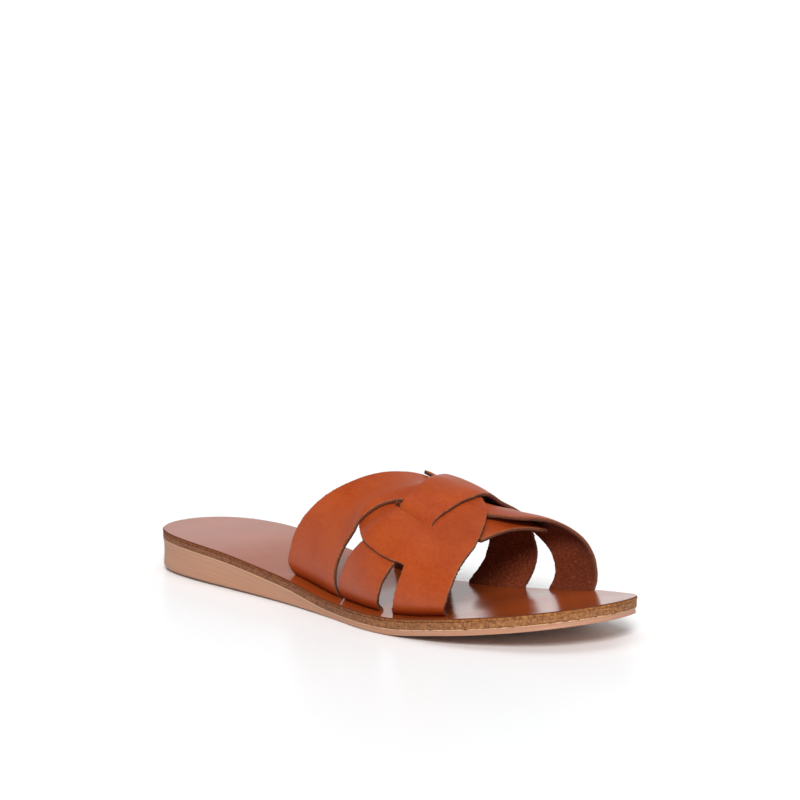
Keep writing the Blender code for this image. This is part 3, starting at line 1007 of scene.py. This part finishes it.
def moulded_rubber():
    """Rubber from a mould: satin tan with streaks along the wall, and a pale line at its top that is glue
    with a painted highlight. Lines from the mould are about 0.3 mm high, too fine to show, so they are drawn
    0.7 mm high and 40 mm long."""
    made, tree, shader, place = new_finish("moulded tan rubber")
    depth = add(tree, "ShaderNodeAttribute", attribute_name="edge_depth").outputs["Fac"]
    apart = add(tree, "ShaderNodeSeparateXYZ", {0: place})
    down = add(tree, "ShaderNodeMath", {0: depth, 1: MM}, operation="MULTIPLY")
    level = add(tree, "ShaderNodeCombineXYZ", {
        "X": apart.outputs["X"], "Y": apart.outputs["Y"], "Z": down.outputs[0]})
    streaks = add(tree, "ShaderNodeMapping", {
        "Vector": level.outputs[0], "Scale": (per_mm(40), per_mm(40), per_mm(0.7))})
    lines = add(tree, "ShaderNodeTexNoise", {"Vector": streaks.outputs[0], "Scale": 1.0, "Detail": 3.0})
    tan = add(tree, "ShaderNodeValToRGB", {"Fac": lines.outputs["Fac"]},
              stops=((0.3, "#A9785C"), (0.7, "#B5856A")))
    joint = add(tree, "ShaderNodeMapRange", {
        "Value": depth, "From Min": GLUE_AND_HIGHLIGHT_FROM, "From Max": GLUE_AND_HIGHLIGHT_TO, "To Min": 1.0, "To Max": 0.0})
    torn = add(tree, "ShaderNodeTexNoise", {"Vector": place, "Scale": per_mm(2.4), "Detail": 3.0})
    front = add(tree, "ShaderNodeMapRange", {
        "Value": apart.outputs["X"], "From Min": BOARD_DARK * MM, "From Max": BOARD_GOLDEN * MM})
    ragged = add(tree, "ShaderNodeMix", {
        "Factor": front.outputs["Result"], "A": EVEN_GLUE_AND_HIGHLIGHT, "B": torn.outputs["Fac"]})
    # Pale line of glue at the outsole's top with a painted highlight, broken by dark torn bits towards the
    # toe
    glue = add(tree, "ShaderNodeValToRGB", {"Fac": ragged.outputs["Result"]},
               stops=((0.38, "#5E3A26"), (0.50, "#C4966C"), (0.64, "#E6C49A")))
    colour = add(tree, "ShaderNodeMix", data_type="RGBA", links={
        "Factor": joint.outputs["Result"], "A": tan.outputs["Color"], "B": glue.outputs["Color"]})
    bump = add(tree, "ShaderNodeBump", {
        "Height": lines.outputs["Fac"], "Strength": 0.25, "Distance": 0.3 * MM})
    plug(tree, shader, {
        "Base Color": colour.outputs["Result"], "Normal": bump.outputs["Normal"], "Roughness": 0.55})
    return made


outsole = sole_piece("outsole_rubber", outsole_top, ground, OUTSOLE_WALL, moulded_rubber())
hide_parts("outsole")

# %% [markdown]
# ## Floor, light and camera
# The sandal stands on a pale, slightly glossy table. A bright low sky all round, dimmer on the camera's side,
# gives the polish something to mirror. The main light is a soft sun from the front, over the camera, and a
# weak wide sun from above fills in without a shine of its own. Area lamps could do the same, but a sun
# lights every place alike and needs no placing. The camera is a long lens, as for a catalogue picture.

# %% Floor
# Half the floor's width in metres
FLOOR_HALF = 12.0


def pale_floor():
    """Lacquered white table top: even and pale, with a faint blurred mirror image."""
    made, tree, shader, _ = new_finish("pale table top")
    plug(tree, shader, {"Base Color": linear("#FBFCFD"), "Roughness": 0.3, "IOR": 1.15})
    return made


corners = FLOOR_HALF * np.array(((-1, -1, 0), (1, -1, 0), (1, 1, 0), (-1, 1, 0)))
floor_mesh = bpy.data.meshes.new("floor")
floor_mesh.from_pydata(corners.tolist(), [], [(0, 1, 2, 3)])
floor_mesh.materials.append(pale_floor())
floor = bpy.data.objects.new("floor", floor_mesh)
bpy.context.scene.collection.objects.link(floor)
print(f"floor: {2 * FLOOR_HALF:.0f} m wide")

# %% Light
# Brightness of the sky: near the horizon, high up, and the heights of direction between which it changes
SKY_LOW, SKY_HIGH, SKY_FROM, SKY_TO = 1.0, 0.20, 0.25, 0.60
# How bright the sky on the camera's side is beside the sky behind the sandal, and the directions across
# the sandal between which it changes
ROOM_SIDE, ROOM_FROM, ROOM_TO = 0.42, -0.5, 0.3
# Soft suns: direction they come from, how wide they look in degrees, strength in watts per square metre,
# and whether their shine is seen, which a filter on the lens takes away
SUNS = (
    ((0.82, -0.78, 0.77), 18.0, 2.90, True),
    ((-0.10, 0.05, 1.00), 50.0, 1.00, False),
)
world = bpy.data.worlds.new("studio")
bpy.context.scene.world = world
world.use_nodes = True
tree = world.node_tree
sky = tree.nodes["Background"]
heading = add(tree, "ShaderNodeTexCoord").outputs["Generated"]
apart = add(tree, "ShaderNodeSeparateXYZ", {0: heading})
glow = add(tree, "ShaderNodeMapRange", {
    "Value": apart.outputs["Z"], "From Min": SKY_FROM, "From Max": SKY_TO,
    "To Min": SKY_LOW, "To Max": SKY_HIGH})
room = add(tree, "ShaderNodeMapRange", {
    "Value": apart.outputs["Y"], "From Min": ROOM_FROM, "From Max": ROOM_TO,
    "To Min": ROOM_SIDE, "To Max": 1.0})
both = add(tree, "ShaderNodeMath", {0: glow.outputs["Result"], 1: room.outputs["Result"]},
           operation="MULTIPLY")
plug(tree, sky, {"Color": (1.0, 1.0, 1.0, 1.0), "Strength": both.outputs[0]})
for k, (direction, width, strength, shine) in enumerate(SUNS):
    lamp = bpy.data.lights.new(f"soft sun {k}", "SUN")
    lamp.angle = np.radians(width)
    lamp.energy = strength
    sun = bpy.data.objects.new(lamp.name, lamp)
    sun.visible_glossy = shine
    sun.rotation_euler = (-Vector(direction)).to_track_quat("-Z", "Y").to_euler()
    bpy.context.scene.collection.objects.link(sun)
print(f"light: a sky and {len(SUNS)} suns")

# %% Camera
# Place and aim in metres, lens and sensor in mm, and how far the camera sees in metres
CAMERA_PLACE = Vector((1.0878, -1.0288, 0.3100))
CAMERA_AIM = Vector((-0.0034, 0.0131, 0.0827))
LENS_MM = 166.0
SENSOR_MM = 36.0
SEES_TO = 60.0
camera = bpy.data.cameras.new("camera")
camera.lens = LENS_MM
camera.sensor_width = SENSOR_MM
camera.clip_end = SEES_TO
view = bpy.data.objects.new("camera", camera)
view.location = CAMERA_PLACE
view.rotation_euler = (CAMERA_AIM - CAMERA_PLACE).to_track_quat("-Z", "Y").to_euler()
bpy.context.scene.collection.objects.link(view)
bpy.context.scene.camera = view
bpy.context.scene.view_settings.view_transform = "Standard"
print(f"camera: {(CAMERA_AIM - CAMERA_PLACE).length:.2f} m from the sandal")
